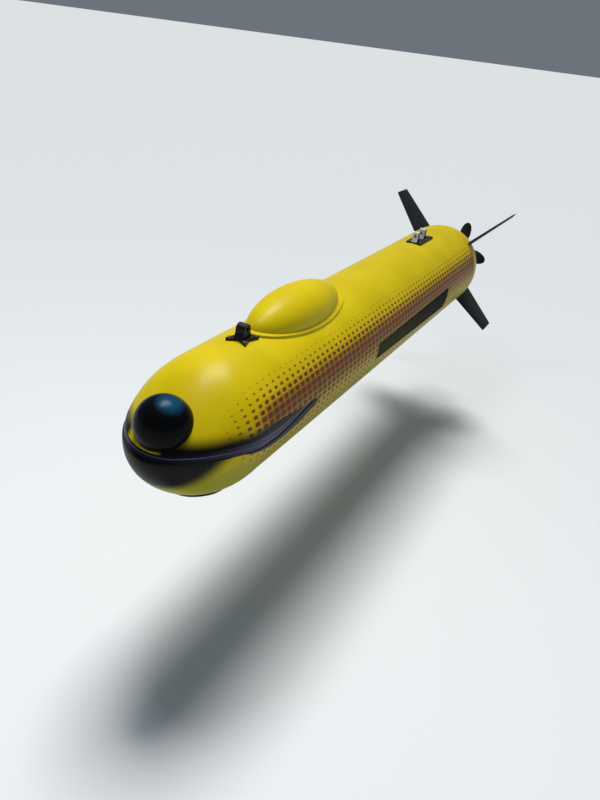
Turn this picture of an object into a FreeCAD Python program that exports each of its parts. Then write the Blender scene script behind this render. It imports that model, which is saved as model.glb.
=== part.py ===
import FreeCAD, Part
import math
import os

import Sketcher
from FreeCAD import Placement, Rotation, Vector

# Survey vehicle, millimetres. +X forward, +Y port, +Z up.
# The origin is on the hull axis, half way between the nose tip and the spinner.

DRIVING = [
    # hull fairings
    ("hullRadius", 350), ("shellWall", 8), ("noseLength", 487), ("foreLength", 1443),
    ("midLength", 1790), ("aftLength", 450), ("jointGap", 0.4), ("splitHeight", 28), ("splitGap", 0.4),
    # nose form: exponents of the side, brow and chin curves, and the run that eases the brow in
    ("sideRound", 1.85), ("browRound", 1.2), ("chinRound", 1.79), ("browBlend", 0.3),
    # black band in the mouth line: distances behind the tip, heights and half widths
    ("mouthFront", 19), ("mouthFrontHalf", 8), ("browBack", 355), ("browMid", 26), ("browHalf", 26),
    ("sagBack", 653), ("sagMid", -4), ("sagHalf", 27), ("cheekBack", 863), ("cheekMid", 12),
    ("cheekHalf", 19), ("cornerBack", 1090), ("bandRecess", 4), ("mouthLead", 24),
    # forward sonar dome and what sits in it
    ("domeRadius", 142), ("domeWall", 6), ("domeBack", 148), ("domeHeight", 135), ("domeTilt", 39),
    ("domeSeat", 30), ("domeGap", 0.3), ("collarWall", 12), ("clampHeight", 12), ("clampBore", 112),
    ("plateHeight", 8), ("headRadius", 78), ("headHeight", 104), ("headRound", 26),
    # chin pod
    ("podBack", 246), ("podLength", 494), ("podWidth", 350), ("podDrop", 11), ("podCorner", 130),
    ("logRadius", 95), ("logHeight", 40), ("logAft", 205), ("logInset", 3),
    ("beamRadius", 27), ("beamSpread", 44), ("beamDepth", 4),
    # flank sonar, seen from the side
    ("flankLead", 25), ("flankLength", 1480), ("flankTop", 49), ("flankTopAft", 66), ("flankKnee", -10),
    ("flankLow", -56), ("flankLowAft", -91), ("flankPoint", 15), ("flankCut", 45), ("flankGap", 0.5),
    ("windowHeight", 2.5), ("arrayMargin", 7.5), ("arrayDepth", 26),
    # antenna blister
    ("plinthGap", 1), ("plinthLength", 1056), ("plinthWidth", 376), ("plinthHeight", 12),
    ("plinthRim", 62), ("plinthEnd", 130), ("radomeLead", 20), ("radomeLength", 940),
    ("radomeWidth", 340), ("radomeHeight", 154), ("radomeSink", 7), ("radomeWall", 5),
    ("deckSeat", 15), ("deckWidth", 100), ("deckHeight", 6), ("discRadius", 48),
    ("discHeight", 30), ("discAhead", 210), ("mastRadius", 11), ("mastHeight", 88),
    # lifting lugs
    ("frontLugBack", 314), ("lugLength", 136), ("lugWidth", 120), ("lugFoot", 14), ("lugHeight", 88),
    ("lugWaist", 42), ("stemHalf", 31), ("stemThick", 54), ("stemFlare", 30), ("eyeRadius", 13),
    ("eyeHeight", 62), ("rearLugAhead", 177), ("rearPlateLength", 305), ("rearPlateWidth", 120),
    ("rearPlateHeight", 10), ("postAhead", 34), ("postSpacing", 155), ("postBase", 74),
    ("postTop", 40), ("postWidth", 46), ("postShoulder", 26), ("postEye", 11), ("postEyeHeight", 54),
    ("boltRadius", 5), ("boltHead", 9), ("boltHeadHeight", 6), ("boltInset", 14),
    ("backingHeight", 10),
    ("boltReach", 26),
    # frames and pressure hull
    ("frameWidth", 14), ("framePlay", 0.1), ("spliceWidth", 44),
    ("pressureRadius", 240), ("pressureWall", 12),
    ("pressureLength", 2400), ("pressureAhead", 63), ("shoulderFrameBack", 200), ("shoulderBore", 190),
    ("foreFrameBack", 753), ("midFrameBack", 860), ("spliceBore", 262), ("batteryLength", 560),
    ("batteryGap", 6), ("batteryPlay", 0.3), ("rackLength", 420), ("rackRail", 14), ("rackPlate", 6),
    ("foamPlay", 0.3), ("foamDepth", 88), ("foamLow", 90), ("ballastHalf", 80),
    ("ballastDepth", 60), ("ballastLength", 300),
    # tail fairing
    ("tailTurn", 550), ("tailAngle", 28), ("tailEnd", 75), ("bearingRadius", 60), ("bearingLength", 64),
    # steering fins
    ("finTip", 742), ("finRootChord", 399), ("finTipChord", 241), ("finSweep", 150), ("finAhead", 7),
    ("finStockBack", 150), ("finRootThick", 28), ("finTipThick", 17), ("finRootGap", 3),
    ("finEdge", 9), ("finAngle", 45), ("stockRadius", 10), ("stockReach", 120), ("bushRadius", 22),
    ("runningGap", 0.05), ("finFrameBore", 250), ("finFrameWidth", 92), ("actuatorRadius", 38),
    ("actuatorLength", 140), ("stockDepth", 60),
    # propulsion
    ("propGap", 3), ("propHubLength", 92), ("spinnerLength", 60), ("propRadius", 280),
    ("propPitch", 460), ("bladeChord", 124), ("bladeRootChord", 77), ("bladeWidest", 154),
    ("bladeThick", 12), ("bladeTipThick", 3), ("bladeTipCut", 1.4), ("bladePhase", -10), ("bladeCount", 4),
    ("shaftRadius", 15), ("motorRadius", 88), ("motorLength", 190), ("motorGap", 24), ("motorBore", 90),
    ("motorPlate", 14),
]

doc = FreeCAD.newDocument("survey_vehicle")
sheet = doc.addObject("Spreadsheet::Sheet", "sizes")
for row, (alias, number) in enumerate(DRIVING, start=1):
    sheet.set("A%d" % row, alias)
    sheet.set("B%d" % row, str(number))
    sheet.setAlias("B%d" % row, alias)
doc.recompute()


class Size:
    """A number together with the spreadsheet expression that gives it."""

    def __init__(self, value, text):
        self.value = value
        self.text = text

    def __add__(self, other):
        other = as_size(other)
        return Size(self.value + other.value, "(%s + %s)" % (self.text, other.text))

    def __sub__(self, other):
        other = as_size(other)
        return Size(self.value - other.value, "(%s - %s)" % (self.text, other.text))

    def __mul__(self, other):
        other = as_size(other)
        return Size(self.value * other.value, "(%s * %s)" % (self.text, other.text))

    def __truediv__(self, other):
        other = as_size(other)
        return Size(self.value / other.value, "(%s / %s)" % (self.text, other.text))

    def __neg__(self):
        return Size(-self.value, "(0 - %s)" % self.text)

    __radd__ = __add__
    __rmul__ = __mul__

    def __rsub__(self, other):
        return as_size(other) - self


def as_size(number):
    if isinstance(number, Size):
        return number
    return Size(float(number), repr(float(number)))


def sine(angle):
    return Size(math.sin(math.radians(angle.value)), "sin(%s)" % angle.text)


def cosine(angle):
    return Size(math.cos(math.radians(angle.value)), "cos(%s)" % angle.text)


def root(size):
    return Size(math.sqrt(size.value), "sqrt(%s)" % size.text)


def cell(alias):
    return Size(float(getattr(sheet, alias)), "sizes.%s" % alias)


s = {alias: cell(alias) for alias, number in DRIVING}
ZERO = as_size(0)

# Lengths that follow from the driving sizes
hull = s["hullRadius"]
shell_inside = hull - s["shellWall"]
tail_curve_run = s["tailTurn"] * sine(s["tailAngle"])
tail_curve_drop = s["tailTurn"] * (1 - cosine(s["tailAngle"]))
tail_slope = sine(s["tailAngle"]) / cosine(s["tailAngle"])
tail_cone_run = (hull - tail_curve_drop - s["tailEnd"]) / tail_slope
tail_length = tail_curve_run + tail_cone_run
stern_length = tail_length + s["propGap"] + s["propHubLength"] + s["spinnerLength"]
body_length = s["foreLength"] + s["midLength"] + s["aftLength"]

# Stations along the vehicle, from the nose tip to the spinner
nose_tip = (s["noseLength"] + body_length + stern_length) / 2
shoulder = nose_tip - s["noseLength"]
front_joint = shoulder - s["foreLength"]
rear_joint = front_joint - s["midLength"]
tail_joint = rear_joint - s["aftLength"]
tail_end = tail_joint - tail_length
hub_front = tail_end - s["propGap"]
hub_back = hub_front - s["propHubLength"]
pressure_front = shoulder - s["shoulderFrameBack"] - s["pressureAhead"] - s["pressureRadius"]
pressure_back = pressure_front - s["pressureLength"]

pieces = {}


def keep(name, thing):
    """Give a finished sub-part its name and list it for export."""
    thing.Label = name
    pieces[name] = thing
    return thing


def bind(thing, name, size):
    thing.setExpression(name, as_size(size).text)


def place(thing, x=0, y=0, z=0, turn=None):
    """Put a sub-part at a station given by sizes, turned first if asked."""
    thing.Placement = Placement(Vector(0, 0, 0), turn or Rotation())
    for letter, size in (("x", x), ("y", y), ("z", z)):
        bind(thing, "Placement.Base.%s" % letter, size)
    return thing


def toward(angle):
    """The rotation that takes +Z to a direction in the YZ plane, measured from +Y up."""
    return Rotation(Vector(1, 0, 0), angle - 90)


ALONG_X = Rotation(Vector(0, 1, 0), 90)
ALONG_Y = Rotation(Vector(1, 0, 0), -90)


def cylinder(name, radius, length, x=0, y=0, z=0, turn=None):
    thing = doc.addObject("Part::Cylinder", name)
    bind(thing, "Radius", radius)
    bind(thing, "Height", length)
    return place(thing, x, y, z, turn)


def box(name, length, width, height, x, y, z):
    thing = doc.addObject("Part::Box", name)
    bind(thing, "Length", length)
    bind(thing, "Width", width)
    bind(thing, "Height", height)
    return place(thing, x, y, z)


def ellipsoid(name, axial, side, height, x, z):
    """Part::Ellipsoid whose three half axes lie along X, Y and Z."""
    thing = doc.addObject("Part::Ellipsoid", name)
    bind(thing, "Radius2", axial)
    bind(thing, "Radius3", side)
    bind(thing, "Radius1", height)
    thing.Angle1 = -90
    thing.Angle2 = 90
    return place(thing, x, 0, z)


def joined(name, things):
    if len(things) == 1:
        return things[0]
    thing = doc.addObject("Part::MultiFuse", name)
    thing.Shapes = things
    return thing


def cut(name, base, tools):
    thing = doc.addObject("Part::Cut", name)
    thing.Base = base
    thing.Tool = joined(name + "_tools", tools)
    return thing


def common(name, base, tool):
    thing = doc.addObject("Part::Common", name)
    thing.Base = base
    thing.Tool = tool
    return thing


def fixed_shape(name, shape):
    thing = doc.addObject("Part::Feature", name)
    thing.Shape = shape
    return thing


def new_body(name):
    return doc.addObject("PartDesign::Body", name)


def new_sketch(body, plane, offset=None):
    sketch = body.newObject("Sketcher::SketchObject", body.Name + "_sketch")
    for feature in body.Origin.OriginFeatures:
        if feature.Role == plane:
            sketch.AttachmentSupport = [(feature, "")]
    sketch.MapMode = "FlatFace"
    if offset is not None:
        bind(sketch, "AttachmentOffset.Base.z", offset)
    return sketch


def fix_point(sketch, edge, end, x, y):
    """Hold one point of a sketch edge at two bound distances from the sketch's origin."""
    for kind, axis, size in (("DistanceX", -2, x), ("DistanceY", -1, y)):
        size = as_size(size)
        if size.text == ZERO.text:
            sketch.addConstraint(Sketcher.Constraint("PointOnObject", edge, end, axis))
            continue
        index = sketch.addConstraint(Sketcher.Constraint(kind, -1, 1, edge, end, size.value))
        bind(sketch, "Constraints[%d]" % index, size)


def circle(sketch, radius, x=ZERO, y=ZERO):
    centre = Vector(as_size(x).value, as_size(y).value, 0)
    index = sketch.addGeometry(Part.Circle(centre, Vector(0, 0, 1), radius.value))
    fix_point(sketch, index, 3, x, y)
    constraint = sketch.addConstraint(Sketcher.Constraint("Radius", index, radius.value))
    bind(sketch, "Constraints[%d]" % constraint, radius)


def arc_between(start, end, radius, side):
    """Arc geometry from start to end; side +1 keeps its centre on the left of the way."""
    chord = end - start
    middle = (start + end) * 0.5
    rise = math.sqrt(max(radius * radius - chord.Length * chord.Length / 4, 0))
    left = Vector(-chord.y, chord.x, 0).normalize()
    centre = middle + left * (rise * side)
    first, last = (start, end) if side > 0 else (end, start)
    angles = [math.atan2(p.y - centre.y, p.x - centre.x) for p in (first, last)]
    if angles[1] <= angles[0]:
        angles[1] += 2 * math.pi
    return Part.ArcOfCircle(Part.Circle(centre, Vector(0, 0, 1), radius), angles[0], angles[1])


def outline(sketch, corners):
    """Close an outline through corners (x, y) or (x, y, radius, side), which arcs to the next."""
    ends = []
    for number, corner in enumerate(corners):
        following = corners[(number + 1) % len(corners)]
        start = Vector(as_size(corner[0]).value, as_size(corner[1]).value, 0)
        end = Vector(as_size(following[0]).value, as_size(following[1]).value, 0)
        if len(corner) == 2:
            ends.append((sketch.addGeometry(Part.LineSegment(start, end)), 1, 2))
            continue
        radius, side = corner[2], corner[3]
        edge = sketch.addGeometry(arc_between(start, end, radius.value, side))
        ends.append((edge, 1, 2) if side > 0 else (edge, 2, 1))
        index = sketch.addConstraint(Sketcher.Constraint("Radius", edge, radius.value))
        bind(sketch, "Constraints[%d]" % index, radius)
    for number, corner in enumerate(corners):
        edge, first, last = ends[number]
        before, ignored, before_last = ends[number - 1]
        sketch.addConstraint(Sketcher.Constraint("Coincident", before, before_last, edge, first))
        fix_point(sketch, edge, first, corner[0], corner[1])


def pad(body, sketch, length):
    feature = body.newObject("PartDesign::Pad", body.Name + "_pad")
    feature.Profile = sketch
    bind(feature, "Length", length)
    return feature


def revolve(body, sketch, axis):
    feature = body.newObject("PartDesign::Revolution", body.Name + "_turn")
    feature.Profile = sketch
    feature.ReferenceAxis = (sketch, [axis])
    feature.Angle = 360
    return feature


def plate_with_bores(name, plane, outside, thickness, bores, offset=None):
    """Round plate: an outer circle and its bores, given as (radius, x, y), padded."""
    body = new_body(name)
    sketch = new_sketch(body, plane, offset)
    circle(sketch, outside)
    for radius, x, y in bores:
        circle(sketch, radius, x, y)
    pad(body, sketch, thickness)
    return body


# ---------------------------------------------------------------- nose and shells

def nose_section(x, side, top, bottom):
    """Closed smooth wire of two half ellipses, one above and one below the waterline."""
    count = 24
    points = []
    for number in range(count):
        angle = 2 * math.pi * number / count
        height = top if math.sin(angle) >= 0 else bottom
        points.append(Vector(x, side * math.cos(angle), height * math.sin(angle)))
    curve = Part.BSplineCurve()
    shares = [number / count for number in range(count + 1)]
    curve.interpolate(Points=points, PeriodicFlag=True, Parameters=shares)
    return Part.Wire([curve.toShape()])


def rounding(share, power):
    return max(1 - share ** power, 0) ** (1 / power)


def hull_form(inset, back):
    """The hull's outside, moved in by inset, from a station behind the brow to the nose tip."""
    radius = hull.value - inset
    length = s["noseLength"].value - inset
    blend = s["browBlend"].value
    steps = 15
    profiles = [nose_section(shoulder.value - (blend + 0.05) * length, radius, radius, radius)]
    for step in range(steps):
        share = 1 - (1 + blend) * (1 - step / steps) ** 2
        eased = share if share > blend else (share + blend) ** 2 / (4 * blend)
        low = max(share, 0)
        side = radius * rounding(low, s["sideRound"].value)
        top = radius * rounding(eased, s["browRound"].value)
        bottom = radius * rounding(low, s["chinRound"].value)
        profiles.append(nose_section(shoulder.value + share * length, side, top, bottom))
    start = profiles[0]
    rear = start.copy()
    rear.translate(Vector(back - start.BoundBox.XMin, 0, 0))
    nose = Part.makeLoft(profiles + [Part.Vertex(shoulder.value + length, 0, 0)], False, False)
    barrel = Part.makeLoft([rear, start], False, True)
    skin = Part.makeShell(nose.Faces + barrel.Faces + [Part.Face(rear)])
    skin.sewShape()
    solid = Part.Solid(skin)
    if solid.Volume < 0:
        solid.reverse()
    return solid


def mouth_prism():
    """Cutter whose side view is the band in the mouth line; it runs right through the nose."""
    tip = nose_tip.value
    reach = 2 * hull.value
    upper = []
    lower = []
    middles = [(-s["mouthLead"].value, s["mouthFront"].value, s["mouthFrontHalf"].value)]
    for back, middle, half in (("browBack", "browMid", "browHalf"), ("sagBack", "sagMid", "sagHalf"),
                               ("cheekBack", "cheekMid", "cheekHalf")):
        middles.append((s[back].value, s[middle].value, s[half].value))
    middles.append((s["cornerBack"].value, s["splitHeight"].value, 0))
    for back, middle, half in middles:
        upper.append(Vector(tip - back, -reach, middle + half))
        lower.append(Vector(tip - back, -reach, middle - half))
    edges = []
    for points in (upper, lower):
        curve = Part.BSplineCurve()
        curve.interpolate(points)
        edges.append(curve.toShape())
    edges.append(Part.makeLine(upper[0], lower[0]))
    face = Part.Face(Part.Wire(Part.__sortEdges__(edges)))
    return face.extrude(Vector(0, 2 * reach, 0))


def dome_axis():
    tilt = math.radians(s["domeTilt"].value)
    return Vector(math.sin(tilt), 0, math.cos(tilt))


def dome_centre():
    return Vector(nose_tip.value - s["domeBack"].value, 0, s["domeHeight"].value)


def dome_collar():
    """Spherical seat moulded inside the upper shell; it carries the dome and its clamp ring."""
    seat = s["domeRadius"].value + s["domeGap"].value
    collar = Part.makeSphere(seat + s["collarWall"].value, dome_centre())
    depth = s["domeSeat"].value + s["clampHeight"].value + s["plateHeight"].value
    floor = dome_centre() - dome_axis() * depth
    above = Part.makeCylinder(2 * seat, 4 * seat, floor, dome_axis())
    inside = hull_form(s["shellWall"].value / 2, front_joint.value)
    return collar.common(above).common(inside)


def bolt_hole(x, y):
    """Clearance for one vertical bolt through the top of a shell."""
    low = Vector(x, y, hull.value - s["boltReach"].value - s["shellWall"].value)
    return Part.makeCylinder(s["boltRadius"].value, 2 * s["boltReach"].value, low)


def front_bolts():
    x = shoulder - s["frontLugBack"]
    along = s["lugLength"] / 2 - s["boltInset"]
    across = s["lugWidth"] / 2 - s["boltInset"]
    return [(x + along * i, across * j) for i in (-1, 1) for j in (-1, 1)]


def rear_bolts():
    x = rear_joint + s["rearLugAhead"]
    along = s["rearPlateLength"] / 2 - s["boltInset"]
    across = s["rearPlateWidth"] / 2 - s["boltInset"]
    return [(x + along * i, across * j) for i in (-1, 0, 1) for j in (-1, 1)]


def fore_shells():
    """Upper and lower fore fairings and the band held between them."""
    outside = hull_form(0, front_joint.value)
    inside = hull_form(s["shellWall"].value, front_joint.value)
    mouth = mouth_prism()
    gap = s["splitGap"].value
    split_end = nose_tip.value - s["cornerBack"].value + s["sagHalf"].value
    split = Part.makeBox(split_end - front_joint.value, 3 * hull.value, gap)
    split.translate(Vector(front_joint.value, -1.5 * hull.value, s["splitHeight"].value - gap / 2))
    parts = outside.cut(inside).cut(mouth.fuse(split)).Solids
    parts.sort(key=lambda solid: solid.CenterOfMass.z)
    lower, upper = parts[0], parts[-1]
    seat = s["domeRadius"].value + s["domeGap"].value
    ball = Part.makeSphere(seat, dome_centre())
    proud = hull_form(s["bandRecess"].value, front_joint.value)
    band = proud.cut(inside).common(mouth).cut(ball)
    upper = upper.fuse(dome_collar()).cut(ball).cut(band)
    upper = max(upper.Solids, key=lambda solid: solid.Volume)
    for x, y in front_bolts():
        upper = upper.cut(bolt_hole(x.value, y.value))
    keep("forward_upper_shell", fixed_shape("forward_upper_shell", upper))
    keep("forward_lower_shell", fixed_shape("forward_lower_shell", lower))
    keep("mouth_band", fixed_shape("mouth_band", max(band.Solids, key=lambda solid: solid.Volume)))


# ---------------------------------------------------------------- mid and aft shells

def flank_corners(margin):
    """Side view of the flank sonar opening, grown by margin; x is measured from the front joint."""
    lead = -s["flankLead"] + margin
    rear = -s["flankLead"] - s["flankLength"] - margin
    return [
        (lead, s["flankTop"] + margin),
        (lead, s["flankKnee"]),
        (lead + s["flankPoint"], s["flankLow"] - margin),
        (rear + s["flankCut"], s["flankLowAft"] - margin),
        (rear, s["flankKnee"]),
        (rear, s["flankTopAft"] + margin),
    ]


def flank_prism(name, margin, starboard):
    """Prism of the flank outline that runs outwards on one side only."""
    body = new_body(name)
    sketch = new_sketch(body, "XZ_Plane")
    outline(sketch, flank_corners(margin))
    feature = pad(body, sketch, hull * 2)
    feature.Reversed = not starboard
    return place(body, front_joint)


def flank_windows():
    sides = (("port", False), ("starboard", True))
    for side, starboard in sides:
        ring = cut(side + "_block_ring",
                   cylinder(side + "_block_out", shell_inside, s["midLength"], rear_joint, turn=ALONG_X),
                   [cylinder(side + "_block_in", shell_inside - s["arrayDepth"], s["midLength"], rear_joint,
                             turn=ALONG_X)])
        prism = flank_prism(side + "_block_prism", s["arrayMargin"], starboard)
        keep(side + "_sonar_array", common(side + "_sonar_array", ring, prism))
        skin = cut(side + "_window_ring",
                   cylinder(side + "_window_out", shell_inside + s["windowHeight"], s["midLength"],
                            rear_joint, turn=ALONG_X),
                   [cylinder(side + "_window_in", shell_inside, s["midLength"], rear_joint, turn=ALONG_X)])
        prism = flank_prism(side + "_window_prism", -s["flankGap"], starboard)
        keep(side + "_sonar_window", common(side + "_sonar_window", skin, prism))


def mid_shells():
    """Upper and lower halves of the middle fairing, with an opening in each flank."""
    length = s["midLength"] - s["jointGap"]
    tube = cut("mid_tube", cylinder("mid_out", hull, length, rear_joint, turn=ALONG_X),
               [cylinder("mid_in", shell_inside, length, rear_joint, turn=ALONG_X),
                flank_prism("port_opening", ZERO, False), flank_prism("starboard_opening", ZERO, True)])
    top = box("mid_top", s["midLength"], hull * 2, hull * 2, rear_joint, -hull,
              s["splitHeight"] + s["splitGap"] / 2)
    upper = common("mid_upper_blank", tube, top)
    keep("mid_upper_shell", cut("mid_upper_shell", upper, vertical_holes("mid_hole", rear_bolts())))
    bottom = box("mid_bottom", s["midLength"], hull * 2, hull * 2, rear_joint, -hull,
                 s["splitHeight"] - s["splitGap"] / 2 - hull * 2)
    keep("mid_lower_shell", common("mid_lower_shell", tube, bottom))


def aft_shell():
    body = plate_with_bores("aft_shell", "YZ_Plane", hull, s["aftLength"] - s["jointGap"],
                            [(shell_inside, ZERO, ZERO)])
    keep("aft_shell", place(body, tail_joint))


# ---------------------------------------------------------------- nose sonar

def tilted(body, depth=ZERO):
    """Stand a body on the dome's axis, depth below the dome's centre."""
    x = nose_tip - s["domeBack"] - depth * sine(s["domeTilt"])
    z = s["domeHeight"] - depth * cosine(s["domeTilt"])
    return place(body, x, 0, z, Rotation(Vector(0, 1, 0), s["domeTilt"].value))


def forward_sonar_dome():
    body = new_body("forward_sonar_dome")
    sketch = new_sketch(body, "XZ_Plane")
    outer = s["domeRadius"]
    inner = s["domeRadius"] - s["domeWall"]
    seat = s["domeSeat"]
    outline(sketch, [
        (ZERO, outer, outer, -1),
        (root(outer * outer - seat * seat), -seat),
        (root(inner * inner - seat * seat), -seat, inner, 1),
        (ZERO, inner),
    ])
    revolve(body, sketch, "V_Axis")
    keep("forward_sonar_dome", tilted(body))


def nose_sonar():
    seat = s["domeRadius"] + s["domeGap"]
    clamp_floor = s["domeSeat"] + s["clampHeight"]
    plate_floor = clamp_floor + s["plateHeight"]
    clamp = plate_with_bores("dome_clamp_ring", "XY_Plane", root(seat * seat - clamp_floor * clamp_floor),
                             s["clampHeight"], [(s["clampBore"], ZERO, ZERO)])
    keep("dome_clamp_ring", tilted(clamp, clamp_floor))
    plate = plate_with_bores("sonar_mount_plate", "XY_Plane",
                             root(seat * seat - plate_floor * plate_floor), s["plateHeight"], [])
    keep("sonar_mount_plate", tilted(plate, plate_floor))
    head = new_body("forward_sonar_head")
    sketch = new_sketch(head, "XZ_Plane")
    outline(sketch, [
        (ZERO, ZERO),
        (s["headRadius"], ZERO),
        (s["headRadius"], s["headHeight"] - s["headRound"], s["headRound"], 1),
        (s["headRadius"] - s["headRound"], s["headHeight"]),
        (ZERO, s["headHeight"]),
    ])
    revolve(head, sketch, "V_Axis")
    keep("forward_sonar_head", tilted(head, clamp_floor))


# ---------------------------------------------------------------- chin pod

def chin_pod():
    """Low fairing that follows the hull under the chin, and the velocity log set in it."""
    radius = s["podCorner"].value
    length, width = s["podLength"].value, s["podWidth"].value
    bottom = -(hull.value + s["podDrop"].value)
    front = nose_tip.value - s["podBack"].value
    blank = Part.makeBox(length, width, hull.value, Vector(front - length, -width / 2, bottom))
    blank = blank.makeFillet(radius, [edge for edge in blank.Edges if edge.BoundBox.ZLength > hull.value / 2])
    blank = blank.common(hull_form(-s["podDrop"].value, front_joint.value))
    outside = hull_form(0, front_joint.value)
    log_x = front - length + s["logAft"].value
    log_floor = bottom + s["logInset"].value
    well = Part.makeCylinder(s["logRadius"].value, s["logHeight"].value + s["logInset"].value,
                             Vector(log_x, 0, bottom))
    pod = blank.cut(outside).cut(well)
    keep("chin_fairing", fixed_shape("chin_fairing", max(pod.Solids, key=lambda solid: solid.Volume)))
    log = Part.makeCylinder(s["logRadius"].value, s["logHeight"].value, Vector(log_x, 0, log_floor))
    for number in range(4):
        angle = math.radians(45 + 90 * number)
        spread = s["beamSpread"].value
        centre = Vector(log_x + spread * math.cos(angle), spread * math.sin(angle), log_floor)
        log = log.cut(Part.makeCylinder(s["beamRadius"].value, s["beamDepth"].value, centre))
    log_hole = Part.makeCylinder(s["logRadius"].value, 2 * s["logHeight"].value, Vector(log_x, 0, bottom))
    lower = pieces["forward_lower_shell"]
    lower.Shape = lower.Shape.cut(log_hole)
    keep("velocity_log", fixed_shape("velocity_log", log))


# ---------------------------------------------------------------- antenna blister

def oval_prism(name, length, width, height, x, z):
    """Upright oval prism: its plan is an ellipse."""
    ellipse = Part.Ellipse(Vector(x.value, 0, z.value), length.value / 2, width.value / 2)
    face = Part.Face(Part.Wire([ellipse.toShape()]))
    return fixed_shape(name, face.extrude(Vector(0, 0, height.value)))


def blister():
    plinth_front = shoulder - s["frontLugBack"] - s["lugLength"] / 2 - s["plinthGap"]
    plinth_back = plinth_front - s["plinthLength"]
    plinth_x = plinth_front - s["plinthLength"] / 2
    radome_x = plinth_x + s["radomeLead"]
    top = hull + s["plinthHeight"]
    run = s["plinthLength"]
    plan = oval_prism("plinth_plan", s["plinthLength"], s["plinthWidth"], hull, plinth_x, hull / 2)
    opening_length = s["plinthLength"] - s["plinthEnd"] * 2
    opening = oval_prism("plinth_opening", opening_length, s["plinthWidth"] - s["plinthRim"] * 2, hull,
                         plinth_x, hull / 2)
    slab = common("plinth_slab", cylinder("plinth_top", top, run, plinth_back, turn=ALONG_X), plan)
    keep("blister_plinth", cut("blister_plinth", slab,
                               [cylinder("plinth_seat", hull, run, plinth_back, turn=ALONG_X), opening]))
    outer = ellipsoid("radome_out", s["radomeLength"] / 2, s["radomeWidth"] / 2, s["radomeHeight"],
                      radome_x, hull - s["radomeSink"])
    inner = ellipsoid("radome_in", s["radomeLength"] / 2 - s["radomeWall"],
                      s["radomeWidth"] / 2 - s["radomeWall"], s["radomeHeight"] - s["radomeWall"],
                      radome_x, hull - s["radomeSink"])
    seat = cylinder("radome_seat", top, run, plinth_back, turn=ALONG_X)
    keep("blister_radome", cut("blister_radome", outer, [inner, seat]))
    deck_length = opening_length + s["deckSeat"] * 2
    keep("antenna_tray", box("antenna_tray", deck_length, s["deckWidth"], s["deckHeight"],
                             plinth_x - deck_length / 2, -s["deckWidth"] / 2, top))
    deck = top + s["deckHeight"]
    disc = cylinder("satellite_antenna", s["discRadius"], s["discHeight"], plinth_x + s["discAhead"], 0, deck)
    keep("satellite_antenna", disc)
    mast = cylinder("radio_antenna", s["mastRadius"], s["mastHeight"], plinth_x, 0, deck)
    keep("radio_antenna", mast)


# ---------------------------------------------------------------- lifting lugs

def flared_stem(name, plane, base, tip, height, thickness):
    """Upright whose outline in one plane flares at the foot and is round at the head."""
    body = new_body(name)
    sketch = new_sketch(body, plane, -thickness / 2)
    flare = s["stemFlare"]
    outline(sketch, [
        (-base, -flare),
        (base, -flare),
        (base, s["lugFoot"]),
        (tip, s["lugFoot"] + flare),
        (tip, height - tip, tip, 1),
        (ZERO, height, tip, 1),
        (-tip, height - tip),
        (-tip, s["lugFoot"] + flare),
        (-base, s["lugFoot"]),
    ])
    pad(body, sketch, thickness)
    return body


def front_lug():
    x = shoulder - s["frontLugBack"]
    half_length, half_width = s["lugLength"] / 2, s["lugWidth"] / 2
    stem = flared_stem("front_stem", "XZ_Plane", s["lugWaist"], s["stemHalf"], s["lugHeight"], s["stemThick"])
    place(stem, x, 0, hull)
    feet = new_body("front_feet")
    sketch = new_sketch(feet, "XY_Plane")
    outline(sketch, [
        (half_length, half_width), (ZERO, s["lugWaist"]), (-half_length, half_width), (-s["lugWaist"], ZERO),
        (-half_length, -half_width), (ZERO, -s["lugWaist"]), (half_length, -half_width),
        (s["lugWaist"], ZERO),
    ])
    pad(feet, sketch, s["lugFoot"] * 2)
    place(feet, x, 0, hull - s["lugFoot"])
    blank = joined("front_lug_blank", [feet, stem])
    seat = cylinder("front_lug_seat", hull, s["lugLength"] * 2, x - s["lugLength"], turn=ALONG_X)
    eye = cylinder("front_eye", s["eyeRadius"], s["lugWidth"], x, -half_width, hull + s["eyeHeight"], ALONG_Y)
    holes = vertical_holes("front_lug_hole", front_bolts())
    keep("front_lift_lug", cut("front_lift_lug", blank, [seat, eye] + holes))


def vertical_holes(name, centres):
    return [cylinder("%s_%d" % (name, number), s["boltRadius"], s["boltReach"] * 2, x, y,
                     hull - s["boltReach"])
            for number, (x, y) in enumerate(centres)]


def bolt_group(name, centres, seat_height):
    """One node of identical vertical bolts: a shank through the shell and a round head."""
    bolts = []
    for x, y in centres:
        seat = Vector(x.value, y.value, hull.value + seat_height.value)
        reach = s["boltReach"].value + seat_height.value
        shank = Part.makeCylinder(s["boltRadius"].value, reach, seat - Vector(0, 0, reach))
        head = Part.makeCylinder(s["boltHead"].value, s["boltHeadHeight"].value, seat)
        bolts.append(shank.fuse(head).removeSplitter())
    keep(name, fixed_shape(name, Part.makeCompound(bolts)))


def backing_plate(name, x, length, width, centres):
    """Curved plate inside the shell that takes the lug's bolts."""
    outside = shell_inside - s["framePlay"]
    ring = cut(name + "_ring", cylinder(name + "_out", outside, length, x - length / 2, turn=ALONG_X),
               [cylinder(name + "_in", shell_inside - s["backingHeight"], length, x - length / 2,
                         turn=ALONG_X)])
    blank = common(name + "_blank", ring, box(name + "_plan", length, width, hull, x - length / 2,
                                              -width / 2, ZERO))
    keep(name, cut(name, blank, vertical_holes(name + "_hole", centres)))


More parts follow.
